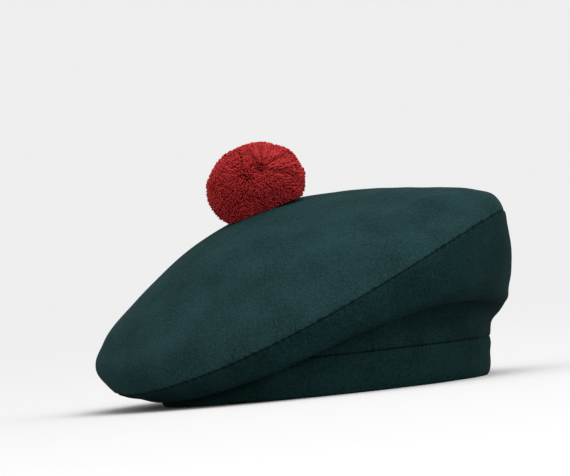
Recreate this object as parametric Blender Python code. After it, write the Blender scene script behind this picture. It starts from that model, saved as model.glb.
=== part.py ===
"""Tam o'shanter: a bottle-green wool bonnet with a red yarn pompom.

The bonnet stands on its headband. X runs to the wearer's left, -Y is the front, +Z is up, and the
origin is on the floor under the middle of the whole bonnet. The wide crown is pulled down to -X.
Every ring of the crown is an ellipse whose height rises and falls round it. The tables give one
ring a row, in shares of the named sizes.
"""

import math

import bmesh
import bpy
import numpy as np
from mathutils import Matrix, Vector

# Headband, measured outside
HEADBAND_WIDTH = 0.176
HEADBAND_LENGTH = 0.210
HEADBAND_HEIGHT = 0.020
HEADBAND_THICKNESS = 0.0036
HEADBAND_TAPER = 0.0006
HEADBAND_ROUNDING = 0.0030

# The strip's section, from its outer upper edge under the fold to its inner one: how far in it lies,
# in HEADBAND_THICKNESS, and its height, in the stretch above the rounding and in the rounding
HEADBAND_COLUMNS = ("inset", "straight", "rounded")
HEADBAND_SECTION = (
    (0.00, 1.0, 1.0),
    (0.00, 0.5, 1.0),
    (0.00, 0.0, 1.0),
    (0.08, 0.0, 0.4),
    (0.30, 0.0, 0.0),
    (0.70, 0.0, 0.0),
    (0.92, 0.0, 0.4),
    (1.00, 0.0, 1.0),
    (1.00, 0.5, 1.0),
    (1.00, 1.0, 1.0),
)

# Crown
CROWN_WIDTH = 0.2128
CROWN_LENGTH = 0.240
RIM_HEIGHT = 0.0446
DOME_RISE = 0.0529
CROWN_SHIFT = 0.026
RIM_LEAN = 0.0362
CLOTH_THICKNESS = 0.002

# Pompom: a ball of yarn locks, squashed where it is sewn down. POMPOM_HEIGHT is what shows above
# the crown, POMPOM_OFF is how far it sits from the top ring's middle towards +X.
POMPOM_WIDTH = 0.0535
POMPOM_DEPTH = 0.045
POMPOM_HEIGHT = 0.037
POMPOM_OFF = 0.0045
LOCK_LENGTH = 0.0034
LOCK_TIP = 0.66
LOCK_SHOULDER = 0.80
LOCK_UNEVEN = 0.22
BALL_SPLITS = 3

# Room left between sewn pieces, so that their solids stay apart
SEAM_GAP = 0.0003

# Points round each ring, and rows along each panel. Rows crowd towards the rim by the power given.
AROUND = 56
TOP_ROWS = 14
SIDE_ROWS = 20
CROWDING = 1.7

# Rings of the crown. along: place between the ends of the panel. over, ahead: how far the ring is
# pulled to -X and to the front, in CROWN_SHIFT. wide, long: its half widths, from the inner edge of
# the panel at 0 to the rim at 1. up: its mean height, from the lower edge at 0 to the upper at 1.
# lean, tip: what the +X side and the back gain, saddle and twist: what both sides gain over front
# and back, and one diagonal over the other, flat: what levels the high and the low side, all in
# RIM_LEAN.
COLUMNS = ("along", "over", "ahead", "wide", "long", "up", "lean", "tip", "saddle", "twist", "flat")
TOP_RINGS = (
    (0.00, 1.00, 0.08, 0.000, 0.000, 1.000, 0.00, 0.00, 0.00, 0.00, 0.00),
    (0.20, 0.97, 0.08, 0.247, 0.221, 0.975, 0.20, 0.06, -0.03, 0.00, 0.00),
    (0.40, 0.90, 0.08, 0.484, 0.433, 0.853, 0.43, 0.11, -0.04, -0.01, 0.00),
    (0.60, 0.79, 0.08, 0.710, 0.642, 0.662, 0.64, 0.14, -0.02, -0.04, 0.00),
    (0.80, 0.64, 0.08, 0.922, 0.838, 0.403, 0.88, 0.14, 0.04, -0.08, 0.01),
    (0.92, 0.43, 0.10, 1.015, 0.954, 0.195, 0.99, 0.12, 0.09, -0.10, 0.01),
    (1.00, 0.13, 0.12, 1.000, 1.000, 0.000, 1.00, 0.10, 0.11, -0.12, 0.00),
)
SIDE_RINGS = (
    (0.00, 0.13, 0.12, 1.000, 1.000, 1.000, 1.00, 0.10, 0.11, -0.12, 0.00),
    (0.20, 0.01, 0.10, 0.897, 0.933, 0.764, 0.91, 0.10, 0.07, -0.09, 0.02),
    (0.42, -0.05, 0.08, 0.790, 0.800, 0.450, 0.72, 0.08, 0.04, -0.07, 0.05),
    (0.58, -0.06, 0.06, 0.630, 0.590, 0.170, 0.57, 0.04, -0.03, -0.04, 0.10),
    (0.66, -0.06, 0.06, 0.500, 0.400, 0.120, 0.53, 0.03, -0.05, -0.04, 0.10),
    (0.76, -0.05, 0.04, 0.290, 0.150, 0.210, 0.42, 0.02, -0.12, -0.09, 0.10),
    (0.88, -0.01, 0.02, 0.130, 0.060, 0.460, -0.04, 0.01, -0.06, -0.03, 0.02),
    (1.00, 0.00, 0.00, 0.000, 0.000, 0.000, 0.00, 0.00, 0.00, 0.00, 0.00),
)

# Soft ridges and hollows of the top panel: where each lies, from the middle at 0 to the rim at 1
# and in degrees round from +X, how far it reaches both ways, and its height, in CLOTH_THICKNESS
DENT_COLUMNS = ("along", "turn", "reach_along", "reach_turn", "height")
DENTS = (
    (0.62, -38.0, 0.10, 22.0, 0.55),
    (0.78, -22.0, 0.08, 16.0, -0.60),
    (0.80, -52.0, 0.09, 15.0, -0.55),
    (0.70, 24.0, 0.12, 20.0, -0.50),
    (0.66, 152.0, 0.12, 24.0, 0.45),
)

CLOTH_COLOUR = (0.0165, 0.0450, 0.0500, 1.0)
SIDE_COLOUR = (0.0120, 0.0330, 0.0350, 1.0)
BAND_COLOUR = (0.0095, 0.0270, 0.0280, 1.0)
YARN_COLOUR = (0.2600, 0.0160, 0.0160, 1.0)
CLOTH_ROUGHNESS = 0.95
YARN_ROUGHNESS = 0.85


def named(columns, row):
    """One row of a table as a dictionary."""
    return dict(zip(columns, row))


def directions():
    """The angle of every point round a ring."""
    return np.linspace(-math.pi, math.pi, AROUND, endpoint=False)


def ring(row, inner, outer, base, rise):
    """Points of one ring. inner, outer: half widths at the panel's two edges."""
    share = named(COLUMNS, row)
    turn = directions()
    half_width = inner[0] + share["wide"] * (outer[0] - inner[0])
    half_length = inner[1] + share["long"] * (outer[1] - inner[1])
    height = base + share["up"] * rise + RIM_LEAN * (
        share["lean"] * np.cos(turn)
        + share["tip"] * np.sin(turn)
        + share["saddle"] * np.cos(2 * turn)
        + share["twist"] * np.sin(2 * turn)
        - share["flat"] * np.cos(3 * turn)
    )
    across = half_width * np.cos(turn) - share["over"] * CROWN_SHIFT
    back = half_length * np.sin(turn) - share["ahead"] * CROWN_SHIFT
    return np.stack([across, back, height], axis=-1)


def through(places, rings, wanted):
    """Smooth curves through the given rings, read at the wanted places along the panel.

    Each stretch is a cubic whose slope at a ring is the mean of the slopes beside it.
    """
    places = np.asarray(places)
    step = np.diff(places)[:, None, None]
    slope = np.diff(rings, axis=0) / step
    middle = (slope[:-1] * step[1:] + slope[1:] * step[:-1]) / (step[1:] + step[:-1])
    tangent = np.concatenate([slope[:1], middle, slope[-1:]])
    rows = []
    for place in wanted:
        k = int(np.clip(np.searchsorted(places, place, side="right") - 1, 0, len(places) - 2))
        size = step[k]
        t = (place - places[k]) / (places[k + 1] - places[k])
        rows.append(
            (2 * t**3 - 3 * t**2 + 1) * rings[k]
            + (t**3 - 2 * t**2 + t) * size * tangent[k]
            + (3 * t**2 - 2 * t**3) * rings[k + 1]
            + (t**3 - t**2) * size * tangent[k + 1]
        )
    return np.stack(rows)


def panel(table, inner, outer, base, rise, wanted):
    """The outer face of one panel of the crown, a row of points for each wanted place."""
    rings = np.stack([ring(row, inner, outer, base, rise) for row in table])
    return through([row[0] for row in table], rings, wanted)


def normals(face):
    """Directions square to a face that is closed round its rings, pointing out."""
    round_it = np.roll(face, -1, axis=1) - np.roll(face, 1, axis=1)
    along_it = np.gradient(face, axis=0)
    square = np.cross(along_it, round_it)
    length = np.linalg.norm(square, axis=-1, keepdims=True)
    return square / np.maximum(length, 1e-12)


def top_places():
    """Places of the top panel's rows, closer together towards the rim."""
    return 1.0 - (1.0 - np.linspace(0.0, 1.0, TOP_ROWS)) ** CROWDING


def dented(face, places):
    """The top panel with its soft ridges and hollows, each a smooth mound."""
    turn = np.degrees(directions())
    out = normals(face)
    height = np.zeros(face.shape[:2])
    for row in DENTS:
        dent = named(DENT_COLUMNS, row)
        off_turn = (turn - dent["turn"] + 180.0) % 360.0 - 180.0
        off_along = places - dent["along"]
        height += dent["height"] * CLOTH_THICKNESS * np.outer(
            np.exp(-((off_along / dent["reach_along"]) ** 2)),
            np.exp(-((off_turn / dent["reach_turn"]) ** 2)),
        )
    return face + out * height[..., None]


def crown_faces():
    """Outer and inner faces of both crown panels, which share their ring at the rim."""
    band = (HEADBAND_WIDTH / 2, HEADBAND_LENGTH / 2)
    rim = (CROWN_WIDTH / 2, CROWN_LENGTH / 2)
    places = top_places()
    top = panel(TOP_RINGS, (0.0, 0.0), rim, RIM_HEIGHT, DOME_RISE, places)
    top[1:] = dented(top, places)[1:]
    foot = HEADBAND_HEIGHT + SEAM_GAP
    side = panel(SIDE_RINGS, band, rim, foot, RIM_HEIGHT - foot, np.linspace(0.0, 1.0, SIDE_ROWS))
    outer = np.concatenate([top, side[1:]])
    square = normals(outer)
    square[0] = square[1].mean(axis=0) / np.linalg.norm(square[1].mean(axis=0))
    flat = square[-1] * (1.0, 1.0, 0.0)
    square[-1] = flat / np.linalg.norm(flat, axis=-1, keepdims=True)
    inner = outer - CLOTH_THICKNESS * square
    rim_row = TOP_ROWS - 1
    return (outer[:TOP_ROWS], inner[:TOP_ROWS]), (outer[rim_row:], inner[rim_row:])


def eased(face, row, other, distance):
    """A face whose edge row is drawn back towards the row beside it."""
    moved = face.copy()
    along = face[other] - face[row]
    along /= np.linalg.norm(along, axis=-1, keepdims=True)
    moved[row] = face[row] + distance * along
    return moved


def closed_mesh(name, rows, pole):
    """A closed body from rings of points. pole: the first and the last ring are single points.

    Without poles the last ring joins the first, as on a tube bent into a hoop.
    """
    mesh = bpy.data.meshes.new(name)
    form = bmesh.new()
    body = rows[1:-1] if pole else rows
    rings = [[form.verts.new(Vector(point)) for point in row] for row in body]
    pairs = list(zip(rings, rings[1:]))
    if not pole:
        pairs.append((rings[-1], rings[0]))
    for first, second in pairs:
        for k in range(len(first)):
            n = (k + 1) % len(first)
            form.faces.new((first[k], second[k], second[n], first[n]))
    if pole:
        start = form.verts.new(Vector(rows[0][0]))
        finish = form.verts.new(Vector(rows[-1][0]))
        for k in range(AROUND):
            n = (k + 1) % AROUND
            form.faces.new((start, rings[0][k], rings[0][n]))
            form.faces.new((rings[-1][n], rings[-1][k], finish))
    bmesh.ops.recalc_face_normals(form, faces=form.faces)
    form.to_mesh(mesh)
    form.free()
    mesh.shade_smooth()
    return mesh


def material(name, colour, roughness):
    """A plain finish."""
    finish = bpy.data.materials.new(name)
    finish.use_nodes = True
    shader = finish.node_tree.nodes["Principled BSDF"]
    shader.inputs["Base Color"].default_value = colour
    shader.inputs["Roughness"].default_value = roughness
    shader.inputs["Metallic"].default_value = 0.0
    return finish


def placed(name, mesh, finish, collection, place):
    """A new object in a collection, moved to its place, with its finish."""
    item = bpy.data.objects.new(name, mesh)
    item.location = place
    mesh.materials.append(finish)
    collection.objects.link(item)
    return item


def crown_top(collection, faces, place):
    """The domed top panel, drawn back from the rim seam by half the gap."""
    outer, inner = (eased(face, -1, -2, SEAM_GAP / 2) for face in faces)
    mesh = closed_mesh("crown_top", list(outer) + list(inner[::-1]), pole=True)
    return placed("crown_top", mesh, material("wool_top", CLOTH_COLOUR, CLOTH_ROUGHNESS), collection, place)


def crown_side(collection, faces, place):
    """The under panel, from the rim seam over its fold to the headband."""
    outer, inner = (eased(face, 0, 1, SEAM_GAP / 2) for face in faces)
    mesh = closed_mesh("crown_side", list(outer) + list(inner[::-1]), pole=False)
    return placed("crown_side", mesh, material("wool_side", SIDE_COLOUR, CLOTH_ROUGHNESS), collection, place)


def headband(collection, place):
    """The folded strip that goes round the head, with a flat foot and a rounded lower edge."""
    turn = directions()
    rows = []
    for row in HEADBAND_SECTION:
        line = named(HEADBAND_COLUMNS, row)
        height = line["straight"] * (HEADBAND_HEIGHT - HEADBAND_ROUNDING)
        height += line["rounded"] * HEADBAND_ROUNDING
        inset = line["inset"] * HEADBAND_THICKNESS + HEADBAND_TAPER * (1 - height / HEADBAND_HEIGHT)
        across = (HEADBAND_WIDTH / 2 - inset) * np.cos(turn)
        back = (HEADBAND_LENGTH / 2 - inset) * np.sin(turn)
        rows.append(np.stack([across, back, np.full(AROUND, height)], axis=-1))
    mesh = closed_mesh("headband", rows, pole=False)
    return placed("headband", mesh, material("wool_band", BAND_COLOUR, CLOTH_ROUGHNESS), collection, place)


def ball_of_locks():
    """A unit ball whose skin is one lock of yarn for each point of a geodesic ball.

    The middles of the triangles round a point are the valleys round its lock, shared with the
    locks beside it. From there a lock narrows to its shoulder and then to its tip.
    """
    seed = bmesh.new()
    bmesh.ops.create_icosphere(seed, subdivisions=BALL_SPLITS, radius=1.0)
    chance = np.random.default_rng(11)
    length = LOCK_LENGTH / (POMPOM_WIDTH / 2)
    form = bmesh.new()
    valleys = {}
    for face in seed.faces:
        valleys[face.index] = form.verts.new(face.calc_center_median().normalized() * (1 - length))
    for point in seed.verts:
        axis = point.co.normalized()
        side = axis.orthogonal().normalized()
        other = axis.cross(side)
        beside = sorted(
            point.link_faces,
            key=lambda face: math.atan2(
                face.calc_center_median().dot(other), face.calc_center_median().dot(side)
            ),
        )
        round_it = [valleys[face.index] for face in beside]
        reach = 1.0 - length * LOCK_UNEVEN * chance.random()
        shoulder = []
        for valley in round_it:
            inward = valley.co.lerp(axis * valley.co.length, 1 - LOCK_TIP)
            shoulder.append(form.verts.new(inward.normalized() * (reach - length * (1 - LOCK_SHOULDER))))
        tip = form.verts.new(axis * reach)
        for k in range(len(round_it)):
            n = (k + 1) % len(round_it)
            form.faces.new((round_it[k], round_it[n], shoulder[n], shoulder[k]))
            form.faces.new((shoulder[k], shoulder[n], tip))
    seed.free()
    return form


def seat_cutter(cutters, top_face, place):
    """A closed body under the pompom whose upper face is the crown's, raised by the seam gap."""
    rows = top_face[: TOP_ROWS // 2 + 1] + np.array([0.0, 0.0, SEAM_GAP])
    lower = rows[-1] - np.array([0.0, 0.0, POMPOM_DEPTH])
    middle = np.repeat(lower.mean(axis=0)[None], AROUND, axis=0)
    mesh = closed_mesh("pompom_seat", list(rows) + [lower, middle], pole=True)
    cutter = bpy.data.objects.new("pompom_seat", mesh)
    cutter.location = place
    cutter.hide_render = True
    cutter.display_type = "WIRE"
    cutters.objects.link(cutter)
    return cutter


def pompom(collection, cutters, top_face, place):
    """The yarn pompom, square to the crown where it is sewn, its underside cut to the crown."""
    up = Vector(normals(top_face)[1].mean(axis=0)).normalized()
    across = (Vector((1.0, 0.0, 0.0)) - up * up.x).normalized()
    seat = Vector(top_face[0][0]) + across * POMPOM_OFF
    centre = seat + up * (POMPOM_HEIGHT - POMPOM_DEPTH / 2)
    turn = Matrix((across, up.cross(across), up)).transposed()
    form = ball_of_locks()
    squash = Matrix.Diagonal((POMPOM_WIDTH / 2, POMPOM_WIDTH / 2, POMPOM_DEPTH / 2))
    for point in form.verts:
        point.co = centre + turn @ (squash @ point.co)
    bmesh.ops.recalc_face_normals(form, faces=form.faces)
    mesh = bpy.data.meshes.new("pompom")
    form.to_mesh(mesh)
    form.free()
    mesh.shade_smooth()
    item = placed("pompom", mesh, material("yarn", YARN_COLOUR, YARN_ROUGHNESS), collection, place)
    cut = item.modifiers.new("seat", "BOOLEAN")
    cut.operation = "DIFFERENCE"
    cut.object = seat_cutter(cutters, top_face, place)
    return item


def main():
    for item in list(bpy.data.objects):
        bpy.data.objects.remove(item, do_unlink=True)
    collection = bpy.data.collections.new("tam_o_shanter")
    cutters = bpy.data.collections.new("cutters")
    bpy.context.scene.collection.children.link(collection)
    bpy.context.scene.collection.children.link(cutters)
    top_faces, side_faces = crown_faces()
    whole = np.concatenate([top_faces[0].reshape(-1, 3), side_faces[0].reshape(-1, 3)])
    middle = (whole.min(axis=0) + whole.max(axis=0)) / 2
    place = Vector((-middle[0], -middle[1], 0.0))
    crown_top(collection, top_faces, place)
    crown_side(collection, side_faces, place)
    headband(collection, place)
    pompom(collection, cutters, top_faces[0], place)


main()
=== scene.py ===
"""Looks of the tam o'shanter: two panels of milled wool, a folded headband and a yarn pompom."""

import bpy
import numpy as np
from mathutils import Matrix, Vector


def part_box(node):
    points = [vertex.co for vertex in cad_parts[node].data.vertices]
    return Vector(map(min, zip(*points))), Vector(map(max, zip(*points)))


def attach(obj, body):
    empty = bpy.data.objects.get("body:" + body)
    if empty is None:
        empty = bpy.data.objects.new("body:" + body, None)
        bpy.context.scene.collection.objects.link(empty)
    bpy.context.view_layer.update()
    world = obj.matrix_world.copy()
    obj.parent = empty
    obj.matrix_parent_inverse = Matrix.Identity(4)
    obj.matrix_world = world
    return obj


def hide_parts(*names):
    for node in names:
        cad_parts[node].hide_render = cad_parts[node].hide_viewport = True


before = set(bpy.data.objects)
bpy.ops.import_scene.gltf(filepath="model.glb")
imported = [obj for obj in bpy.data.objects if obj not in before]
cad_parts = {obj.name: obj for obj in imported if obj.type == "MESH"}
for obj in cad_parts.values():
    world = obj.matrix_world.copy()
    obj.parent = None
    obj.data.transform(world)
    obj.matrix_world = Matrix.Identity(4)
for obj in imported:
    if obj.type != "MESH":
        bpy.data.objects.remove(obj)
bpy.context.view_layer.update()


# Crown, top panel. A round of bottle-green melton, a milled wool cloth about 2 mm thick with a short
# matt nap. It is cut flat, domed by steam, eased into the under panel round the rim, and worn pulled
# down to one side, so that soft ridges and hollows show on its high side.
CLOTH_THICKNESS = 0.002
SEAM_GAP = 0.00012
RIM_HALVES = (0.1064, 0.1200)
RIM_HEIGHT = 0.0446
DOME_RISE = 0.0529
CROWN_SHIFT = 0.026
RIM_LEAN = 0.0362

# Points round each ring, and rows of rings: coarse and fine ones outside, and the fewer inside
AROUND = 760
TOP_OUTER_ROWS = (80, 30)
TOP_FINE_FROM = 0.90
TOP_INNER_ROWS = 22

# Rings of a panel. along: place between its two edges. over, ahead: how far the ring is pulled to -X
# and to the front, in CROWN_SHIFT. wide, long: half widths, from the inner edge at 0 to the rim at 1.
# up: mean height, from the lower edge at 0 to the upper at 1. lean, tip, saddle, twist, flat: how
# the height rises and falls round the ring, in RIM_LEAN.
RING_COLUMNS = ("along", "over", "ahead", "wide", "long", "up", "lean", "tip", "saddle", "twist", "flat")
TOP_RINGS = (
    (0.00, 1.00, 0.08, 0.000, 0.000, 1.000, 0.00, 0.00, 0.00, 0.00, 0.00),
    (0.20, 0.97, 0.08, 0.247, 0.221, 0.975, 0.20, 0.06, -0.03, 0.00, 0.00),
    (0.40, 0.90, 0.08, 0.484, 0.433, 0.853, 0.43, 0.11, -0.04, -0.01, 0.00),
    (0.60, 0.79, 0.08, 0.710, 0.642, 0.662, 0.64, 0.14, -0.02, -0.04, 0.00),
    (0.80, 0.64, 0.08, 0.922, 0.838, 0.403, 0.88, 0.14, 0.04, -0.08, 0.01),
    (0.92, 0.43, 0.10, 1.015, 0.954, 0.195, 0.99, 0.12, 0.09, -0.10, 0.01),
    (1.00, 0.13, 0.12, 1.000, 1.000, 0.000, 1.00, 0.10, 0.11, -0.12, 0.00),
)

# Ridges and hollows of the top panel. along, turn: where each lies, from the middle at 0 to the rim
# at 1 and in degrees round from +X. reach_along, reach_turn: how far it goes. height: in metres.
TOP_DENTS = (
    (0.475, -45.0, 0.034, 8.0, 0.0011),
    (0.525, -36.0, 0.034, 8.0, 0.0014),
    (0.550, -20.0, 0.034, 9.0, 0.0011),
    (0.755, -42.0, 0.034, 6.0, 0.0012),
    (0.775, -34.0, 0.034, 6.0, 0.0017),
    (0.820, -26.0, 0.034, 6.0, 0.0013),
    (0.640, -42.0, 0.070, 16.0, -0.0012),
    (0.890, -38.0, 0.050, 16.0, -0.0021),
    (0.740, -66.0, 0.100, 16.0, -0.0012),
    (0.430, 8.0, 0.060, 40.0, -0.0004),
    (0.600, 6.0, 0.050, 40.0, 0.0005),
    (0.820, -2.0, 0.045, 22.0, 0.0008),
    (0.940, -3.0, 0.050, 30.0, 0.0012),
    (0.360, 170.0, 0.160, 60.0, 0.0007),
    (0.720, 180.0, 0.200, 60.0, 0.0003),
    (1.000, -165.0, 0.090, 42.0, 0.0013),
)

# The under panel goes on from the rim at 0 to the headband at 1. Both panels are shaped as one surface
# before the seam parts them, so its rings are here too. It has dents in the same columns, and tucks,
# whose last number is how far the cloth is tucked in towards the middle, or let out if it is negative.
SIDE_RINGS = (
    (0.00, 0.13, 0.12, 1.000, 1.000, 1.000, 1.00, 0.10, 0.11, -0.12, 0.00),
    (0.20, 0.01, 0.10, 0.897, 0.933, 0.764, 0.91, 0.10, 0.07, -0.09, 0.02),
    (0.42, -0.05, 0.08, 0.790, 0.800, 0.450, 0.72, 0.08, 0.04, -0.07, 0.05),
    (0.58, -0.06, 0.06, 0.630, 0.590, 0.170, 0.57, 0.04, -0.03, -0.04, 0.10),
    (0.66, -0.06, 0.06, 0.500, 0.400, 0.120, 0.53, 0.03, -0.05, -0.04, 0.10),
    (0.76, -0.05, 0.04, 0.290, 0.150, 0.210, 0.42, 0.02, -0.12, -0.09, 0.10),
    (0.88, -0.01, 0.02, 0.130, 0.060, 0.460, -0.04, 0.01, -0.06, -0.03, 0.02),
    (1.00, 0.00, 0.00, 0.000, 0.000, 0.000, 0.00, 0.00, 0.00, 0.00, 0.00),
)
SIDE_DENTS = (
    (0.00, -165.0, 0.16, 42.0, 0.0010),
    (0.00, 2.0, 0.08, 30.0, 0.0005),
    (0.32, 0.0, 0.13, 36.0, 0.0009),
    (0.53, 2.0, 0.05, 26.0, -0.0011),
    (0.75, 4.0, 0.06, 22.0, 0.0009),
    (1.00, 0.0, 0.05, 40.0, 0.0010),
    (0.50, -50.0, 0.05, 40.0, 0.0006),
)
SIDE_TUCKS = (
    (0.70, -40.0, 0.11, 24.0, 0.0040),
    (0.70, -88.0, 0.10, 26.0, 0.0030),
    (0.85, -48.0, 0.08, 28.0, 0.0036),
    (0.79, 108.0, 0.07, 46.0, -0.0021),
    (0.79, -108.0, 0.07, 36.0, -0.0014),
    (0.79, 165.0, 0.07, 40.0, -0.0008),
)
SIDE_OUTER_ROWS = (18, 58, 18)
SIDE_FINE_TO = 0.10
SIDE_FINE_FROM = 0.92

# Rows of the under panel's tight fold, and how often each is drawn towards the rows beside it
FOLD_ROWS = (58, 86)
FOLD_EASES = 12

# Slack in the cloth: the size and depth of its waves, and how near the rim seam it is pulled flat
SLACK_SIZE = 0.034
SLACK_DEPTH = 0.00016
SLACK_FROM_RIM = 0.010
SWELL_SPREAD = (0.7, 1.4)

# Puckers of a seam: how their pace and height wander round it
RIM_PUCKERS = 168
WANDER_ORDERS = (2, 60)
WANDER_PHASES = 6.28
PACE_WANDER = 1.3
PUCKER_MEAN = 0.65
PUCKER_SPREAD = 0.35
PUCKER_LIMITS = (0.1, 1.4)

# How a seam shapes the cloth beside it, in metres. crease: the dip at its stitches, deeper between two
# puckers. roll: the swell over the seam's turned edges, at a distance of place. pucker: the waves
# that run off from the stitches.
SEAM_COLUMNS = ("crease_depth", "crease_reach", "roll_height", "roll_place", "roll_reach", "pucker_depth",
                "pucker_reach")
RIM_SEAM = dict(zip(SEAM_COLUMNS, (0.0005, 0.0008, 0.00022, 0.0040, 0.0030, 0.00060, 0.0032)))
CREASE_DEEPEST = 1.15
CREASE_EASE = 0.45
# How the painted shade in a seam's crease spreads, further on a pucker
CREASE_SHADE_SPREAD = 0.5

# Looks of the cloth. Scales are waves to a metre, shares say how much each pattern changes the tone,
# and reliefs are heights in metres.
NAP_TINT = (70, 130, 134)
# Share of painted shade under the lip of the under panel's fold
PAINTED_FOLD_SHADE = 0.75
CLOUD_SCALE = 42.0
CLOUD_SHARE = 0.8
PATCH_SCALE = 1000.0
PATCH_SHARE = 1.4
PATCH_RELIEF = 0.00025
FIBRE_SCALES = (620, 1700, 1700)
FIBRE_TURNS = ((0.3, 0.2, 0.5), (0.9, -0.4, 2.4), (0.2, 1.2, 1.5))
FELT_SHARE = 1.4
FELT_RELIEF = 0.00022
WOOL_ROUGHNESS = 0.86
WOOL_BUMP = 0.7
MIX_A, MIX_B, MIX_COLOUR = 6, 7, 2


def angles(count):
    """Angles of the points round a ring, from -X round by the front."""
    return np.linspace(-np.pi, np.pi, count, endpoint=False)


def column(table, names, name):
    """One column of a table as an upright array."""
    return np.array(table)[:, names.index(name), None]


def unit(vectors):
    """Vectors of length one."""
    return vectors / np.maximum(np.linalg.norm(vectors, axis=-1, keepdims=True), 1e-12)


def through(places, rings, wanted):
    """Smooth curves through rings, read at the wanted places.

    Between two rings it is the cubic that has their points and, at each, a slope that is the mean
    of the slopes beside it.
    """
    places = np.asarray(places)
    step = np.diff(places)[:, None, None]
    slope = np.diff(rings, axis=0) / step
    middle = (slope[:-1] * step[1:] + slope[1:] * step[:-1]) / (step[1:] + step[:-1])
    tangent = np.concatenate([slope[:1], middle, slope[-1:]])
    k = np.clip(np.searchsorted(places, wanted, side="right") - 1, 0, len(places) - 2)
    size = step[k]
    t = ((wanted - places[k]) / size[:, 0, 0])[:, None, None]
    return (
        (2 * t**3 - 3 * t**2 + 1) * rings[k]
        + (t**3 - 2 * t**2 + t) * size * tangent[k]
        + (3 * t**2 - 2 * t**3) * rings[k + 1]
        + (t**3 - t**2) * size * tangent[k + 1]
    )


def panel(table, inner, base, rise, places):
    """Smooth curves through ellipses: cosine and sine of the turn times the half widths, less the pull.

    Their height is the mean one plus cosines and sines of one, two and three times the turn.
    """
    share = {name: column(table, RING_COLUMNS, name) for name in RING_COLUMNS}
    half_width = inner[0] + share["wide"] * (RIM_HALVES[0] - inner[0])
    half_length = inner[1] + share["long"] * (RIM_HALVES[1] - inner[1])
    height = base + share["up"] * rise + RIM_LEAN * (
        share["lean"] * np.cos(turn)
        + share["tip"] * np.sin(turn)
        + share["saddle"] * np.cos(2 * turn)
        + share["twist"] * np.sin(2 * turn)
        - share["flat"] * np.cos(3 * turn)
    )
    across = band_middle[0] + half_width * np.cos(turn) - share["over"] * CROWN_SHIFT
    back = band_middle[1] + half_length * np.sin(turn) - share["ahead"] * CROWN_SHIFT
    return through(share["along"][:, 0], np.stack([across, back, height], axis=-1), places)


def square_to(face):
    """Directions square to a face: the cross product of its slopes along the rows and round them."""
    round_it = np.roll(face, -1, axis=1) - np.roll(face, 1, axis=1)
    return unit(np.cross(np.gradient(face, axis=0), round_it))


def run_of(face):
    """How far each point lies from the first row, measured along the cloth."""
    steps = np.linalg.norm(np.diff(face, axis=0), axis=-1)
    return np.concatenate([np.zeros((1, face.shape[1])), np.cumsum(steps, axis=0)])


def bump(distance, reach):
    """A smooth mound: 1 in its middle, and e to the minus square of the distance in reaches."""
    return np.exp(-((distance / reach) ** 2))


def dents(table, places):
    """The sum of a table's smooth mounds and hollows."""
    degrees = np.degrees(turn)
    height = np.zeros((len(places), len(turn)))
    for along, centre, reach_along, reach_turn, rise in table:
        off = (degrees - centre + 180.0) % 360.0 - 180.0
        height += rise * np.outer(bump(places - along, reach_along), bump(off, reach_turn))
    return height


def swell(points, size, seed, waves=28):
    """Soft unevenness: the sum of cosine waves of about one size, each with its own direction."""
    chance = np.random.default_rng(seed)
    way = chance.normal(size=(3, waves))
    way /= np.linalg.norm(way, axis=0)
    pace = 2 * np.pi / (size * chance.uniform(*SWELL_SPREAD, waves))
    start = chance.uniform(0, 2 * np.pi, waves)
    return np.cos(points @ (way * pace) + start).sum(axis=-1) * np.sqrt(2 / waves)


def puckers(turn, count, seed):
    """Puckers round a seam, from 0 to 1: a cosine whose pace and height wander round the ring."""
    chance = np.random.default_rng(seed)
    order = np.arange(*WANDER_ORDERS)[:, None]
    shape = (2, len(order), 1)
    wander = chance.normal(size=shape) * np.cos(order * turn + chance.uniform(0, WANDER_PHASES, shape))
    pace, height = wander.sum(axis=1) / np.sqrt(len(order) / 2)
    wave = 0.5 + 0.5 * np.cos(count * turn + PACE_WANDER * pace)
    return wave * np.clip(PUCKER_MEAN + PUCKER_SPREAD * height, *PUCKER_LIMITS)


def seam_relief(distance, wave, seam):
    """Height beside a turned seam: the swell over its edges, less the dip, plus the fading puckers."""
    dip = bump(distance, seam["crease_reach"])
    return (
        seam["roll_height"] * bump(distance - seam["roll_place"], seam["roll_reach"])
        - seam["crease_depth"] * dip * (CREASE_DEEPEST - CREASE_EASE * wave)
        + seam["pucker_depth"] * (wave - 0.5) * np.exp(-distance / seam["pucker_reach"]) * (1 - dip)
    )


def crease_shade_distance(distance, wave):
    """Distance from a seam that the painted shade in its crease reads: it reaches further on a pucker."""
    return distance / (CREASE_SHADE_SPREAD + wave)


def drawn_back(face, row, beside):
    """A face whose edge row is drawn back towards the row beside it, by half the gap of a seam."""
    moved = face.copy()
    along = face[beside] - face[row]
    moved[row] = face[row] + SEAM_GAP / 2 * along / np.linalg.norm(along, axis=-1, keepdims=True)
    return moved


def joined_rings(rows, around, pole):
    """Corner numbers of the quads between rings, and of the fans that close a shell at its poles."""
    turn = np.arange(around)
    after = (turn + 1) % around
    first = np.arange(rows - 1)[:, None] * around
    quads = np.stack([first + turn, first + around + turn, first + around + after, first + after], axis=-1)
    quads = quads.reshape(-1, 4)
    last = (rows - 1) * around
    if pole:
        start = rows * around
        fan = np.stack([np.full(around, start), turn, after], axis=-1)
        other = np.stack([np.full(around, start + 1), last + after, last + turn], axis=-1)
        return quads, np.concatenate([fan, other])
    closing = np.stack([last + turn, turn, after, last + after], axis=-1)
    return np.concatenate([quads, closing]), np.zeros((0, 3), int)


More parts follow.
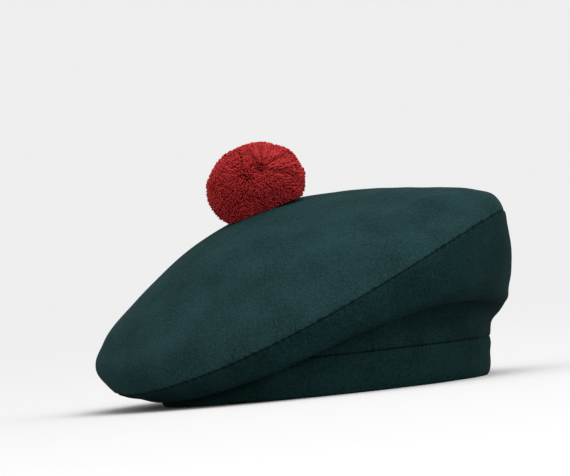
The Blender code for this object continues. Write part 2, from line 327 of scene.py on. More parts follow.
def mesh_piece(name, points, quads, triangles, finish, **values):
    """A closed mesh from arrays, turned right way out by the sign of its volume.

    values: numbers kept on the points, for the finish to read.
    """
    corners = np.concatenate([quads[:, [0, 1, 2]], quads[:, [0, 2, 3]], triangles])
    a, b, c = points[corners].transpose(1, 0, 2)
    if (a * np.cross(b, c)).sum() < 0:
        quads = quads[:, ::-1]
        triangles = triangles[:, ::-1]
    mesh = bpy.data.meshes.new(name)
    mesh.from_pydata(points.tolist(), [], quads.tolist() + triangles.tolist())
    mesh.shade_smooth()
    for kept, numbers in values.items():
        numbers = np.asarray(numbers, np.float32).ravel()
        mesh.attributes.new(kept, "FLOAT", "POINT").data.foreach_set("value", numbers)
    mesh.materials.append(finish)
    piece = bpy.data.objects.new(name, mesh)
    bpy.context.scene.collection.objects.link(piece)
    return piece


def ring_piece(name, rows, pole, finish, **values):
    """A closed body from its rings. pole: its first and its last ring are single points.

    Without poles the last ring joins the first, as on a tube bent into a hoop.
    """
    if pole:
        quads, fans = joined_rings(len(rows) - 2, rows.shape[1], True)
        points = np.concatenate([rows[1:-1].reshape(-1, 3), rows[:1, 0], rows[-1:, 0]])
        values = {key: np.append(kept[1:-1], [kept[0, 0], kept[-1, 0]]) for key, kept in values.items()}
    else:
        quads, fans = joined_rings(len(rows), rows.shape[1], False)
        points = rows.reshape(-1, 3)
    return mesh_piece(name, points, quads, fans, finish, **values)


def shell_piece(name, outer, inner, pole, finish, **values):
    """A wall between an outer and an inner face. values: rows of numbers for the outer face."""
    inside = np.ones(inner.shape[:2])
    kept = {key: np.concatenate([numbers, inside]) for key, numbers in values.items()}
    return ring_piece(name, np.concatenate([outer, inner[::-1]]), pole, finish, **kept)


class Signal:
    """A socket of a finish. Sums with it add the Math nodes that work them out."""

    def __init__(self, tree, socket=None):
        self.tree = tree
        self.socket = socket

    def node(self, kind, settings, inputs, output=0):
        """A new node: first its settings, then the values or links of its sockets."""
        made = self.tree.nodes.new("ShaderNode" + kind)
        for name, value in settings.items():
            setattr(made, name, value)
        for name, value in inputs.items():
            if isinstance(value, Signal):
                self.tree.links.new(value.socket, made.inputs[name])
            else:
                made.inputs[name].default_value = value
        return Signal(self.tree, made.outputs[output])

    def maths(self, operation, first, second):
        return self.node("Math", {"operation": operation}, {0: first, 1: second})

    def __add__(self, other):
        return self.maths("ADD", self, other)

    def __mul__(self, other):
        return self.maths("MULTIPLY", self, other)

    def __sub__(self, other):
        return self.maths("SUBTRACT", self, other)

    def __rsub__(self, other):
        return self.maths("SUBTRACT", other, self)

    def __truediv__(self, other):
        return self.maths("DIVIDE", self, other)

    __radd__ = __add__

    def between(self, low, high):
        """0 below low, 1 above high, and a smooth step between them."""
        return self.node("MapRange", {"interpolation_type": "SMOOTHSTEP"}, {0: self, 1: low, 2: high})

    def noise(self, scale, detail):
        """Noise at the place that this socket gives, with so many waves to a metre."""
        return self.node("TexNoise", {}, {"Vector": self, "Scale": scale, "Detail": detail}, 0)

    def kept(self, name):
        """The number that the points keep under a name."""
        return self.node("Attribute", {"attribute_name": name}, {}, "Fac")

    def feed(self, node, name):
        self.tree.links.new(self.socket, node.inputs[name])

    def feed_relief(self, shader, strength):
        """Bends the shader's normal as this height in metres does."""
        inputs = {"Height": self, "Strength": strength, "Distance": 1.0}
        self.node("Bump", {}, inputs, "Normal").feed(shader, "Normal")


def mixed(share, first, second):
    """A colour between two others."""
    return share.node("Mix", {"data_type": "RGBA"}, {0: share, MIX_A: first, MIX_B: second}, MIX_COLOUR)


def tone(red, green, blue):
    """A colour given as it looks on a screen, from 0 to 255, as the numbers that light works with."""
    screen = np.array([red, green, blue]) / 255
    light = np.where(screen <= 0.04045, screen / 12.92, ((screen + 0.055) / 1.055) ** 2.4)
    return (*light.tolist(), 1.0)


def new_finish(name, constants):
    """A new finish, its shader with the given constants, and the place on the object as a socket."""
    made = bpy.data.materials.new(name)
    made.use_nodes = True
    shader = made.node_tree.nodes["Principled BSDF"]
    for socket, value in constants.items():
        shader.inputs[socket].default_value = value
    return made, shader, Signal(made.node_tree).node("TexCoord", {}, {}, "Object")


def wool(name, light, dark, painted_shade, painted_shade_width):
    """Milled wool: felted fibres that lie every way, in soft clouds of two tones, with a matt nap.

    light, dark: the two tones. The third colour is painted shade, laid in the bottom of a seam's crease
    and in part in the fold under the under panel's lip, where shade falls.
    """
    made, shader, place = new_finish(name, {
        "Sheen Weight": 0.03,
        "Sheen Roughness": 0.40,
        "Sheen Tint": tone(*NAP_TINT),
        "Specular IOR Level": 0.02,
    })

    def fibres(turn, shift):
        """Short fibres laid one way: noise that is drawn out along its own X."""
        laid = place.node("Mapping", {}, {"Vector": place, "Rotation": turn, "Location": (shift, 0, 0)})
        drawn = laid.node("Mapping", {}, {"Vector": laid, "Scale": FIBRE_SCALES})
        return drawn.noise(1.0, 1.0)

    clouds = place.noise(CLOUD_SCALE, 3.0)
    patches = place.noise(PATCH_SCALE, 3.0)
    first, second, third = (fibres(turn, shift) for shift, turn in enumerate(FIBRE_TURNS))
    felt = (first + second + third) / 3
    share = (clouds - 0.5) * CLOUD_SHARE + (patches - 0.5) * PATCH_SHARE + (felt - 0.5) * FELT_SHARE + 0.5
    colour = mixed(share.between(0.0, 1.0), dark, light)
    # Painted shade in the recess under the lip of the under panel's fold
    colour = mixed(place.kept("fold") * PAINTED_FOLD_SHADE, colour, painted_shade)
    # Painted shade in a seam's crease: the cloth goes to the third colour close to the stitches
    colour = mixed(1 - place.kept("seam").between(0.0, painted_shade_width), colour, painted_shade)
    colour.feed(shader, "Base Color")
    (WOOL_ROUGHNESS + felt * (1 - WOOL_ROUGHNESS)).feed(shader, "Roughness")
    (felt * FELT_RELIEF + patches * PATCH_RELIEF).feed_relief(shader, WOOL_BUMP)
    return made


band_low, band_high = (np.array(corner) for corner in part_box("headband"))
band_middle = (band_low + band_high) / 2
band_halves = (band_high - band_low)[:2] / 2
band_height = band_high[2]
foot = band_height + SEAM_GAP

turn = angles(AROUND)
top_places = np.concatenate([
    np.linspace(0.0, TOP_FINE_FROM, TOP_OUTER_ROWS[0], endpoint=False),
    np.linspace(TOP_FINE_FROM, 1.0, TOP_OUTER_ROWS[1]),
])
side_places = np.concatenate([
    np.linspace(0.0, SIDE_FINE_TO, SIDE_OUTER_ROWS[0], endpoint=False),
    np.linspace(SIDE_FINE_TO, SIDE_FINE_FROM, SIDE_OUTER_ROWS[1], endpoint=False),
    np.linspace(SIDE_FINE_FROM, 1.0, SIDE_OUTER_ROWS[2]),
])
top_base = panel(TOP_RINGS, (0.0, 0.0), RIM_HEIGHT, DOME_RISE, top_places)
side_base = panel(SIDE_RINGS, band_halves, foot, RIM_HEIGHT - foot, side_places)
rim_row = len(top_base) - 1
crown_base = np.concatenate([top_base, side_base[1:]])
crown_dents = np.concatenate([dents(TOP_DENTS, top_places), dents(SIDE_DENTS, side_places)[1:]])
crown_base[1:] += square_to(crown_base)[1:] * crown_dents[1:, :, None]
inwards = np.stack([-np.cos(turn), -np.sin(turn), np.zeros(AROUND)], axis=-1)
crown_base[rim_row:] += inwards * dents(SIDE_TUCKS, side_places)[..., None]
first, last = (rim_row + row for row in FOLD_ROWS)
for _ in range(FOLD_EASES):
    beside = crown_base[first - 1:last - 1] + crown_base[first + 1:last + 1]
    crown_base[first:last] = crown_base[first:last] / 2 + beside / 4
crown_square = square_to(crown_base)
crown_square[0] = unit(crown_square[1].mean(axis=0))
crown_square[-1] = unit(crown_square[-1] * (1.0, 1.0, 0.0))

top_base, top_square = crown_base[:rim_row + 1], crown_square[:rim_row + 1]
rim_wave = puckers(turn, RIM_PUCKERS, seed=5)
from_rim = run_of(top_base[::-1])[::-1]
slack = swell(top_base, SLACK_SIZE, seed=21) * SLACK_DEPTH * (1 - bump(from_rim, SLACK_FROM_RIM))
top_relief = slack + seam_relief(from_rim, rim_wave, RIM_SEAM)
top_relief[0] = top_relief[1].mean()
top_outer = top_base + top_square * top_relief[..., None]
inner_rows = np.linspace(0, rim_row, TOP_INNER_ROWS).astype(int)
top_inner = (top_base - CLOTH_THICKNESS * top_square)[inner_rows]
# Its seam numbers lay painted shade in the crease of the rim seam.
crown_top = shell_piece(
    "crown_top_cloth",
    drawn_back(top_outer, -1, -2),
    drawn_back(top_inner, -1, -2),
    True,
    wool("wool_crown", tone(30, 53, 54), tone(16, 33, 34), tone(5, 17, 19), 0.0017),
    seam=crease_shade_distance(from_rim, rim_wave),
)
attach(crown_top, "root")
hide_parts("crown_top")


# Crown, under panel. A ring of the same melton, seamed to the top panel at the rim with the seam turned
# inside, folded under the rim's slack and gathered into the headband. Its tones are the top panel's
# darkened as painted shade, with more painted shade just under the fold's lip.
# Rows that the inner face keeps: first, last and how many, the closest in the fold
SIDE_INNER_ROWS = ((0, 56, 8), (60, 80, 13), (84, 93, 5))
BAND_PUCKERS = 196
BAND_SEAM = dict(zip(SEAM_COLUMNS, (0.0003, 0.0006, 0.00050, 0.0036, 0.0030, 0.00055, 0.0040)))
SLACK_FROM_BAND = 0.006
# Where along the panel the painted shade under the fold's lip is darkest and where the fold is tightest,
# and how far both reach
PAINTED_SHADE_AT = 0.72
FOLD_TOP = 0.87
FOLD_REACH = 0.09

side_base, side_square = crown_base[rim_row:], crown_square[rim_row:]
band_wave = puckers(turn, BAND_PUCKERS, seed=8)
from_rim = run_of(side_base)
from_band = run_of(side_base[::-1])[::-1]
slack = swell(side_base, SLACK_SIZE, seed=34) * SLACK_DEPTH
slack *= 1 - bump(side_places - FOLD_TOP, FOLD_REACH)[:, None]
side_relief = slack * (1 - bump(from_rim, SLACK_FROM_RIM)) * (1 - bump(from_band, SLACK_FROM_BAND))
side_relief += seam_relief(from_rim, rim_wave, RIM_SEAM)
side_relief += seam_relief(from_band, band_wave, BAND_SEAM)
side_outer = side_base + side_square * side_relief[..., None]
inner_rows = np.concatenate([np.linspace(*stretch) for stretch in SIDE_INNER_ROWS]).astype(int)
side_inner = (side_base - CLOTH_THICKNESS * side_square)[inner_rows]
# Same cloth as the top panel, with its tones darkened as painted shade for a panel that faces down.
crown_side = shell_piece(
    "crown_side_cloth",
    drawn_back(side_outer, 0, 1),
    drawn_back(side_inner, 0, 1),
    False,
    wool("wool_under", tone(20, 41, 42), tone(7, 22, 23), tone(4, 15, 16), 0.0014),
    seam=np.minimum(crease_shade_distance(from_rim, rim_wave), crease_shade_distance(from_band, band_wave)),
    # painted shade just under the fold's lip, darkest at one place along the panel
    fold=bump(side_places - PAINTED_SHADE_AT, FOLD_REACH)[:, None] * np.ones(AROUND),
)
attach(crown_side, "root")
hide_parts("crown_side")


# Seam threads. Dark green sewing thread that joins the two panels round the rim, and the under panel to
# the headband. Each stitch comes up out of the crease and goes back into it about 3 mm further on.
THREAD_RADIUS = 0.00018
THREAD_SIDES = 6
THREAD_SCALE = 2400.0
THREAD_ROUGHNESS = 0.70
THREAD_RELIEF = 0.0001
RIM_STITCHES = 236
BAND_STITCHES = 202
STITCH_SHARE = 0.72
STITCH_POINTS = 6
STITCH_RISE = 0.00030
STITCH_SINK = 0.8
TUBE_START = 0.4
TUBE_TIP = 0.5


def tube_points(path, width, sides, aside):
    """Tubes round paths: a ring of points square to the path at each of its points, and a tip at each end.

    aside: a direction for each path, from which its rings start.
    """
    ahead = unit(np.gradient(path, axis=1))
    first = unit(np.cross(ahead, aside[:, None]))
    second = np.cross(ahead, first)
    ring = np.linspace(0, 2 * np.pi, sides, endpoint=False)[:, None]
    round_it = first[:, :, None] * np.cos(ring) + second[:, :, None] * np.sin(ring)
    rings = path[:, :, None] + round_it * width[..., None, None]
    start = path[:, :1] - ahead[:, :1] * width[:, :1, None] * TUBE_START
    tip = path[:, -1:] + ahead[:, -1:] * width[:, -1:, None] * TUBE_TIP
    return np.concatenate([rings.reshape(len(path), -1, 3), start, tip], axis=1)


def tubes_piece(name, points, sides, finish, **values):
    """One mesh of many tubes, from their points."""
    rows = (points.shape[1] - 2) // sides
    quads, fans = joined_rings(rows, sides, True)
    offset = (np.arange(len(points)) * points.shape[1])[:, None, None]
    quads = (quads + offset).reshape(-1, 4)
    fans = (fans + offset).reshape(-1, 3)
    return mesh_piece(name, points.reshape(-1, 3), quads, fans, finish, **values)


def stitches(name, line, square, count, finish):
    """Stitches along a closed line: arcs whose height is a sine of the way along each."""
    way = np.linspace(0.0, STITCH_SHARE, STITCH_POINTS)
    place = (np.arange(count)[:, None] + way) * len(line) / count
    before = place.astype(int)
    part = (place - before)[..., None]
    after = (before + 1) % len(line)
    before = before % len(line)
    path = line[before] * (1 - part) + line[after] * part
    path += square[before] * (STITCH_RISE * (np.sin(np.pi * way / STITCH_SHARE) - STITCH_SINK))[:, None]
    width = np.full(path.shape[:2], THREAD_RADIUS)
    points = tube_points(path, width, THREAD_SIDES, square[before[:, 0]])
    piece = tubes_piece(name, points, THREAD_SIDES, finish)
    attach(piece, "root")
    return piece


def thread(name, light, dark):
    """Sewing thread: spun fibres in two tones that wind round it, with a slight gloss."""
    made, shader, place = new_finish(name, {"Specular IOR Level": 0.05})
    plies = place.noise(THREAD_SCALE, 2.0)
    mixed(plies.between(0.35, 0.65), dark, light).feed(shader, "Base Color")
    (THREAD_ROUGHNESS + plies * 0.2).feed(shader, "Roughness")
    (plies * THREAD_RELIEF).feed_relief(shader, 0.6)
    return made


seam_thread = thread("seam_thread", tone(9, 27, 29), tone(4, 13, 15))
rim_stitches = stitches("rim_stitches", top_outer[-1], top_square[-1], RIM_STITCHES, seam_thread)
band_stitches = stitches("band_stitches", side_outer[-1], side_square[-1], BAND_STITCHES, seam_thread)


# Headband. A straight strip of the same cloth, folded double with the fold at the bottom, its two raw
# edges turned up into the seam with the under panel. It shows small gathers under that seam.
STRIP_THICKNESS = 0.0036
STRIP_TAPER = 0.0006
STRIP_ROUNDING = 0.0022
STRIP_BULGE = 0.0005
STRIP_AROUND = 1040
STRIP_ROWS = 80
# How far the strip leans out at its upper edge on the high side, and how far round that goes, in degrees
STRIP_LEAN = 0.0010
STRIP_LEAN_REACH = 40.0
# The slot between its two layers: how wide it is, where it ends above the fold, and its rows
LAYER_GAP = 0.0002
FOLD_UP = 0.0014
LAYER_ROWS = 4
STRIP_SLACK_SIZE = 0.030
STRIP_SLACK_DEPTH = 0.0003
STRIP_SLACK_FROM_SEAM = 0.004
# The strip's section. inset: in STRIP_THICKNESS from the outer face. straight, rounded: the height, in
# that of its straight part and in STRIP_ROUNDING.
STRIP_COLUMNS = ("inset", "straight", "rounded")
STRIP_SECTION = (
    (0.00, 1.0, 1.0),
    (0.00, 0.5, 1.0),
    (0.00, 0.0, 1.0),
    (0.08, 0.0, 0.4),
    (0.30, 0.0, 0.0),
    (0.70, 0.0, 0.0),
    (0.92, 0.0, 0.4),
    (1.00, 0.0, 1.0),
    (1.00, 0.5, 1.0),
    (1.00, 1.0, 1.0),
)

section_height = (
    column(STRIP_SECTION, STRIP_COLUMNS, "straight") * (band_height - STRIP_ROUNDING)
    + column(STRIP_SECTION, STRIP_COLUMNS, "rounded") * STRIP_ROUNDING
)[:, 0]
section_inset = column(STRIP_SECTION, STRIP_COLUMNS, "inset")[:, 0] * STRIP_THICKNESS
section_inset += STRIP_TAPER * (1 - section_height / band_height)
strip_turn = angles(STRIP_AROUND)


def hoops(inset, height):
    """Level ellipses: the headband's half widths less the inset, at the given heights.

    On the high side the crown's weight is off it, and it leans out towards its upper edge.
    """
    leans_out = STRIP_LEAN * bump(np.degrees(strip_turn), STRIP_LEAN_REACH)
    inset = inset[:, None] - height[:, None] / band_height * leans_out
    across = band_middle[0] + (band_halves[0] - inset) * np.cos(strip_turn)
    back = band_middle[1] + (band_halves[1] - inset) * np.sin(strip_turn)
    return np.stack([across, back, np.broadcast_to(height[:, None], across.shape)], axis=-1)


corners_run = np.concatenate([[0.0], np.cumsum(np.hypot(np.diff(section_inset), np.diff(section_height)))])
strip_run = np.linspace(0.0, corners_run[-1], STRIP_ROWS)
strip = through(corners_run, hoops(section_inset, section_height), strip_run)
strip_square = square_to(strip)
from_seam = np.minimum(strip_run, corners_run[-1] - strip_run)[:, None] * np.ones(STRIP_AROUND)
outside = (strip_run < corners_run[-1] / 2)[:, None]
strip_wave = puckers(strip_turn, BAND_PUCKERS, seed=8)
strip_relief = swell(strip, STRIP_SLACK_SIZE, seed=55) * STRIP_SLACK_DEPTH
strip_relief *= 1 - bump(from_seam, STRIP_SLACK_FROM_SEAM)
strip_relief += outside * seam_relief(from_seam, strip_wave, BAND_SEAM)
strip_relief += outside * STRIP_BULGE * np.sin(np.pi * strip[..., 2] / band_height)
flip = np.sign((strip_square[0] * (strip[0] - band_middle)).sum())
strip = strip + flip * strip_square * strip_relief[..., None]
strip[..., 2] = np.maximum(strip[..., 2], 0.0)
layer_height = np.linspace(band_height, FOLD_UP, LAYER_ROWS)
layer_middle = (STRIP_THICKNESS + STRIP_TAPER * (1 - layer_height / band_height)) / 2
inner_layer = hoops(layer_middle + LAYER_GAP / 2, layer_height)
outer_layer = hoops(layer_middle - LAYER_GAP / 2, layer_height)
strip = np.concatenate([strip, inner_layer, outer_layer[::-1]])
from_seam = np.where(outside, crease_shade_distance(from_seam, strip_wave), 1.0)
# Same cloth again, with tones darkened as on the under panel: painted shade.
headband = ring_piece(
    "headband_cloth",
    strip,
    False,
    wool("wool_band", tone(20, 41, 41), tone(7, 23, 23), tone(5, 17, 18), 0.0006),
    seam=np.concatenate([from_seam, np.ones((2 * LAYER_ROWS, STRIP_AROUND))]),
)
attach(headband, "root")
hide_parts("headband")


# Pompom. Cut ends of soft red wool yarn, tied in the middle, trimmed to a ball and sewn down so that
# its underside spreads on the crown. A whorl on its front lets the yarn's sides show.
POMPOM_WIDTH = 0.0534
POMPOM_DEPTH = 0.045
POMPOM_HEIGHT = 0.036
POMPOM_OFF = 0.0035
# Where it sits: the crown's row that gives its lean, the share of the crown's rows that its underside
# follows, and how deep in the cloth an end may lie before it is left out
SEAT_ROW = 8
SEAT_SHARE = 0.45
SEAT_CLEARANCE = 0.0003
BURIED_LIMIT = 0.008
# The ends: their number and radius, and their radii and places from root to tip, in shares
YARN_ENDS = 7800
YARN_SCATTER = 0.010
YARN_RADIUS = 0.00047
YARN_SPREAD = (0.85, 1.15)
YARN_SIDES = 4
YARN_PLACES = (0.0, 0.3, 0.55, 0.80, 1.0)
YARN_WIDTHS = (0.6, 0.85, 1.0, 1.0, 0.85)
YARN_ROOT = 0.42
# How unevenly they are trimmed: each by itself, and in swells over the ball
YARN_UNEVEN = 0.0018
UNEVEN_POWER = 1.5
SWELL_RADIUS = 0.025
YARN_SWELL_SIZE = 0.012
YARN_SWELL_DEPTH = 0.00025
# How far they lean, in degrees: in tufts of a size, and each by itself
YARN_LEAN = 20.0
YARN_LEAN_SIZE = 0.011
LEAN_SCATTER = 0.6
# The whorl: its direction, and its dimple's depth and reach in degrees. The yarn round it is combed
# away from it, most on one side: the turn of its roots, how far that reaches, its shares, and how
# early it bends on its way out
WHORL = (0.16, -0.93, 0.32)
WHORL_DEPTH = 0.0048
WHORL_REACH = 8.0
WHORL_CLEAR = 7.0
COMB_TURN = 46.0
COMB_REACH = 62.0
COMB_SIDE = (0.62, 0.0, 0.78)
COMB_MEAN = 0.30
COMB_SPREAD = 1.1
COMB_LIMITS = (0.06, 1)
COMB_CURVE = (0.9, 0.5)
# Grooves between the combed tufts
GROOVE_SIZE = 0.0095
GROOVE_DEPTH = 0.0020
GROOVE_REACH = 42.0
GROOVE_LIMITS = (-1.5, 0.6)
# Tone of each end, from 0 for dark to 1 for light: by chance, and painted shade in the grooves
SHADE_CHANCE = 0.90
GROOVE_SHADE_SHARE = 1.1
SHADE_DOWN = 0.50
GROOVE_SHADE_GAIN = 0.6
GROOVE_SHADE_PLAIN = 0.55
HAIR_SCALE = 2600.0
HAIR_RELIEF = 0.0003
YARN_ROUGHNESS = 0.80


def even_directions(count):
    """Directions spread evenly over a ball, on a spiral whose turns are a golden angle apart."""
    number = np.arange(count) + 0.5
    height = 1 - 2 * number / count
    round_it = np.pi * (1 + 5**0.5) * number
    flat = np.sqrt(1 - height**2)
    return np.stack([flat * np.cos(round_it), flat * np.sin(round_it), height], axis=-1)


def turned_towards(directions, goal, angle):
    """Directions turned towards a goal by an angle for each, never past it."""
    along = unit(goal - directions * (directions @ goal)[:, None])
    angle = np.minimum(angle, np.arccos(np.clip(directions @ goal, -1, 1)))[:, None]
    return directions * np.cos(angle) + along * np.sin(angle)


def bowl_terms(flat):
    """The terms of a curved sheet: 1, x, y, their squares and product."""
    x, y = flat[..., 0], flat[..., 1]
    return np.stack([np.ones_like(x), x, y, x * x, x * y, y * y], axis=-1)


seat_up = unit(top_square[SEAT_ROW].mean(axis=0))
seat_across = unit(np.array([1.0, 0.0, 0.0]) - seat_up * seat_up[0])
seat_back = np.cross(seat_up, seat_across)
seat_frame = np.stack([seat_across, seat_back, seat_up])
seat = top_base[0, 0] + seat_across * POMPOM_OFF
ball_centre = seat + seat_up * (POMPOM_HEIGHT - POMPOM_DEPTH / 2)
near = top_base[:int(len(top_base) * SEAT_SHARE)].reshape(-1, 3)
near = (near - ball_centre) @ seat_frame.T
bowl = np.linalg.lstsq(bowl_terms(near), near[:, 2], rcond=None)[0]

chance = np.random.default_rng(17)
ends = unit(even_directions(YARN_ENDS) + chance.normal(scale=YARN_SCATTER, size=(YARN_ENDS, 3)))
on_ball = ends * SWELL_RADIUS
halves = np.array([POMPOM_WIDTH, POMPOM_WIDTH, POMPOM_DEPTH]) / 2
reach = 1 / np.linalg.norm(ends / halves, axis=-1)
reach -= YARN_UNEVEN * chance.random(YARN_ENDS) ** UNEVEN_POWER
reach += YARN_SWELL_DEPTH * swell(on_ball, YARN_SWELL_SIZE, seed=3)
whorl = unit(seat_frame @ unit(np.array(WHORL)))
away = np.degrees(np.arccos(np.clip(ends @ whorl, -1, 1)))
reach -= WHORL_DEPTH * bump(away, WHORL_REACH)
combed_way = unit(ends - np.outer(ends @ whorl, whorl))
combed = combed_way @ (seat_frame @ np.array(COMB_SIDE))
comb_share = bump(away, COMB_REACH) * (1 - bump(away, WHORL_CLEAR))
comb_share *= np.clip(COMB_MEAN + COMB_SPREAD * combed, *COMB_LIMITS)
roots = turned_towards(ends, whorl, np.radians(COMB_TURN) * comb_share)
groove = swell(combed_way * SWELL_RADIUS, GROOVE_SIZE, seed=77)
reach += GROOVE_DEPTH * np.clip(groove, *GROOVE_LIMITS) * comb_share * bump(away, GROOVE_REACH)
lean = np.stack([swell(on_ball, YARN_LEAN_SIZE, seed) for seed in (61, 62, 63)], axis=-1)
lean += chance.normal(scale=LEAN_SCATTER, size=lean.shape)
roots = unit(roots + np.tan(np.radians(YARN_LEAN)) * lean * (1 - comb_share[:, None]))
places = np.array(YARN_PLACES)
way = roots[:, None] * (1 - places[:, None]) + ends[:, None] * places[:, None]
rise = places ** (COMB_CURVE[0] - COMB_CURVE[1] * comb_share[:, None])
length = reach[:, None] * (YARN_ROOT + (1 - YARN_ROOT) * rise)
path = unit(way) * length[..., None]
cloth_height = bowl_terms(path) @ bowl + SEAT_CLEARANCE + YARN_RADIUS
buried = np.clip(cloth_height[:, -1] - path[:, -1, 2], 0, None)
kept = buried < BURIED_LIMIT
path = path[kept]
path[..., 2] = np.maximum(path[..., 2], cloth_height[kept])
count = len(path)
widths = YARN_RADIUS * np.array(YARN_WIDTHS) * chance.uniform(*YARN_SPREAD, (count, 1))
points = tube_points(path, widths, YARN_SIDES, chance.normal(size=(count, 3)))
points = points @ seat_frame + ball_centre
along = np.concatenate([np.repeat(places, YARN_SIDES), [0.0, 1.0]])
along = np.broadcast_to(along, (count, len(along)))
# Painted shade in the grooves between the combed tufts, lighter on their crests
groove_painted_shade = np.clip(0.5 + GROOVE_SHADE_GAIN * groove, 0, 1) * comb_share + GROOVE_SHADE_PLAIN * (1 - comb_share)
shade = SHADE_CHANCE * chance.random(count) + GROOVE_SHADE_SHARE * groove_painted_shade[kept] - SHADE_DOWN
shade = np.broadcast_to(shade[:, None], along.shape)


def yarn(name, light, middle, painted_root_shade):
    """Soft wool yarn: light at its cut end, darker down between the ends, each end a little its own.

    The darkening down between the ends is painted shade.
    """
    made, shader, place = new_finish(name, {
        "Sheen Weight": 0.06,
        "Sheen Roughness": 0.5,
        "Sheen Tint": tone(220, 90, 90),
        "Subsurface Weight": 0.35,
        "Subsurface Radius": (0.0030, 0.0010, 0.0008),
        "Subsurface Scale": 1.0,
        "Specular IOR Level": 0.08,
    })
    along = place.kept("along")
    hairs = place.noise(HAIR_SCALE, 2.0)
    # Painted shade: each end goes from the middle tone to the third one down towards its root
    colour = mixed(along.between(0.35, 0.95), painted_root_shade, middle)
    # Towards its cut end each end goes to the light tone, by chance and less in the painted groove shade
    lit = (place.kept("shade") * 0.7 + hairs * 0.6 - 0.25).between(0.0, 1.0)
    mixed(lit * along.between(0.5, 1.0), colour, light).feed(shader, "Base Color")
    (YARN_ROUGHNESS + hairs * 0.15).feed(shader, "Roughness")
    (hairs * HAIR_RELIEF).feed_relief(shader, 0.8)
    return made


yarn_finish = yarn("yarn", tone(151, 38, 41), tone(129, 26, 29), tone(106, 16, 19))
ahead_of_middle = path[:, -1] @ seat_frame[:, 1] < 0
for name, half in (("pompom_yarn_front", ahead_of_middle), ("pompom_yarn_back", ~ahead_of_middle)):
    pompom = tubes_piece(name, points[half], YARN_SIDES, yarn_finish, along=along[half], shade=shade[half])
    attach(pompom, "root")
    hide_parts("pompom")


# Pompom core. The tied middle of the yarn, where the lengths are packed tight. It is hardly seen. Its
# tones are the yarn's darkened, painted shade for the middle of the ball.
CORE_SHARE = 0.62
CORE_RINGS = 40
CORE_AROUND = 64
CORE_LUMP_SIZE = 0.004
CORE_LUMP_DEPTH = 0.0006
# It sits at the dark root end of the yarn's painted shade, and at a dark tone
CORE_ALONG = 0.5
CORE_SHADE = 0.3

core_turn = angles(CORE_AROUND)
core_fall = np.linspace(0, np.pi, CORE_RINGS)[:, None]
core = np.stack([
    np.sin(core_fall) * np.cos(core_turn),
    np.sin(core_fall) * np.sin(core_turn),
    np.cos(core_fall) * np.ones(CORE_AROUND),
], axis=-1) * halves * CORE_SHARE
core += unit(core) * (CORE_LUMP_DEPTH * swell(core, CORE_LUMP_SIZE, seed=9))[..., None]
core[..., 2] = np.maximum(core[..., 2], bowl_terms(core) @ bowl + SEAT_CLEARANCE)
core[0] = core[0].mean(axis=0)
core[-1] = core[-1].mean(axis=0)
core = core @ seat_frame + ball_centre
pompom_core = ring_piece(
    "pompom_core",
    core,
    True,
    yarn("yarn_core_painted_shade", tone(110, 20, 22), tone(84, 12, 14), tone(46, 6, 8)),
    along=np.full(core.shape[:2], CORE_ALONG),
    shade=np.full(core.shape[:2], CORE_SHADE),
)
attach(pompom_core, "root")


# Floor. A plain pale studio floor, so wide that its far edge can't be told from the backdrop.
FLOOR_REACH = 60.0
FLOOR_GREY = (0.5, 0.5, 0.5, 1.0)
corner_signs = np.array([(-1, -1, 0), (1, -1, 0), (1, 1, 0), (-1, 1, 0)])
floor_mesh = bpy.data.meshes.new("studio_floor")
floor_mesh.from_pydata((corner_signs * FLOOR_REACH).tolist(), [], [(0, 1, 2, 3)])
floor_paint = bpy.data.materials.new("floor_paint")
floor_paint.use_nodes = True
floor_shader = floor_paint.node_tree.nodes["Principled BSDF"]
floor_shader.inputs["Base Color"].default_value = FLOOR_GREY
floor_shader.inputs["Roughness"].default_value = 1.0
floor_shader.inputs["Specular IOR Level"].default_value = 0.0
floor_mesh.materials.append(floor_paint)
studio_floor = bpy.data.objects.new("studio_floor", floor_mesh)
bpy.context.scene.collection.objects.link(studio_floor)


# Light. An even white surround, and a very wide sun, tilted to the right and a little to the front, that
# is as bright on the floor as the surround. A soft box stands high on the right, and a low one in front.
SURROUND = 0.86
WHITE = (1.0, 1.0, 1.0, 1.0)
SKY_TILT = 18.0
SKY_TURN = 62.0
SKY_WIDTH = 70.0


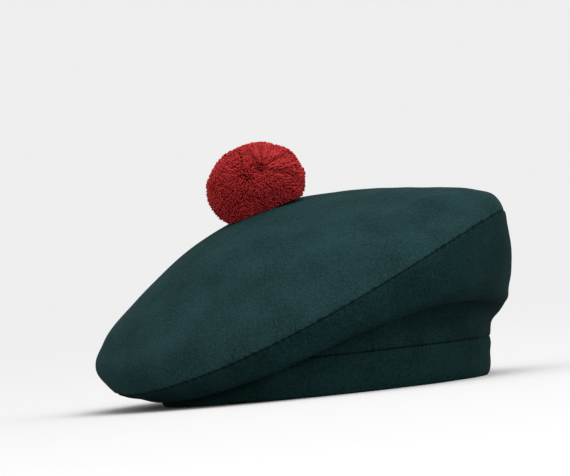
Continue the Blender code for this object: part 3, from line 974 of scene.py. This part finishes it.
def soft_box(name, place, aim, size, power):
    """A square lamp that faces a point."""
    lamp = bpy.data.lights.new(name, "AREA")
    lamp.shape = "SQUARE"
    lamp.size = size
    lamp.energy = power
    item = bpy.data.objects.new(name, lamp)
    item.location = place
    item.rotation_mode = "QUATERNION"
    item.rotation_quaternion = (Vector(aim) - Vector(place)).to_track_quat("-Z", "Y")
    bpy.context.scene.collection.objects.link(item)


soft_box("overhead_box", place=(0.70, -0.45, 1.35), aim=(0.0, 0.0, 0.05), size=1.3, power=4.0)
soft_box("front_box", place=(-0.10, -1.70, 0.22), aim=(-0.02, 0.0, 0.08), size=0.9, power=9.5)
sky = bpy.data.lights.new("sky", "SUN")
sky.angle = np.radians(SKY_WIDTH)
sky.energy = SURROUND * np.pi / np.cos(np.radians(SKY_TILT))
sky_item = bpy.data.objects.new("sky", sky)
sky_item.rotation_euler = (np.radians(SKY_TILT), 0.0, np.radians(SKY_TURN))
bpy.context.scene.collection.objects.link(sky_item)
world = bpy.data.worlds.new("studio")
bpy.context.scene.world = world
world.use_nodes = True
world.node_tree.nodes["Background"].inputs["Color"].default_value = WHITE
world.node_tree.nodes["Background"].inputs["Strength"].default_value = SURROUND
bpy.context.scene.view_settings.view_transform = "Standard"


# Camera. It looks at the front from just above the floor, rolled a little as the photograph is.
CAMERA_SIDE = -0.00602
CAMERA_AWAY = 2.0
CAMERA_HEIGHT = 0.060
AIM_HEIGHT = 0.08224
CAMERA_ROLL = 5.8
CAMERA_LENS = 238.35
SENSOR_WIDTH = 36.0
lens = bpy.data.cameras.new("camera")
lens.sensor_width = SENSOR_WIDTH
lens.lens = CAMERA_LENS
camera = bpy.data.objects.new("camera", lens)
bpy.context.scene.collection.objects.link(camera)
camera.location = (CAMERA_SIDE, band_middle[1] - CAMERA_AWAY, CAMERA_HEIGHT)
look = Vector((0.0, CAMERA_AWAY, AIM_HEIGHT - CAMERA_HEIGHT))
rolled = look.to_track_quat("-Z", "Y").to_matrix() @ Matrix.Rotation(-np.radians(CAMERA_ROLL), 3, "Z")
camera.rotation_euler = rolled.to_euler()
bpy.context.scene.camera = camera
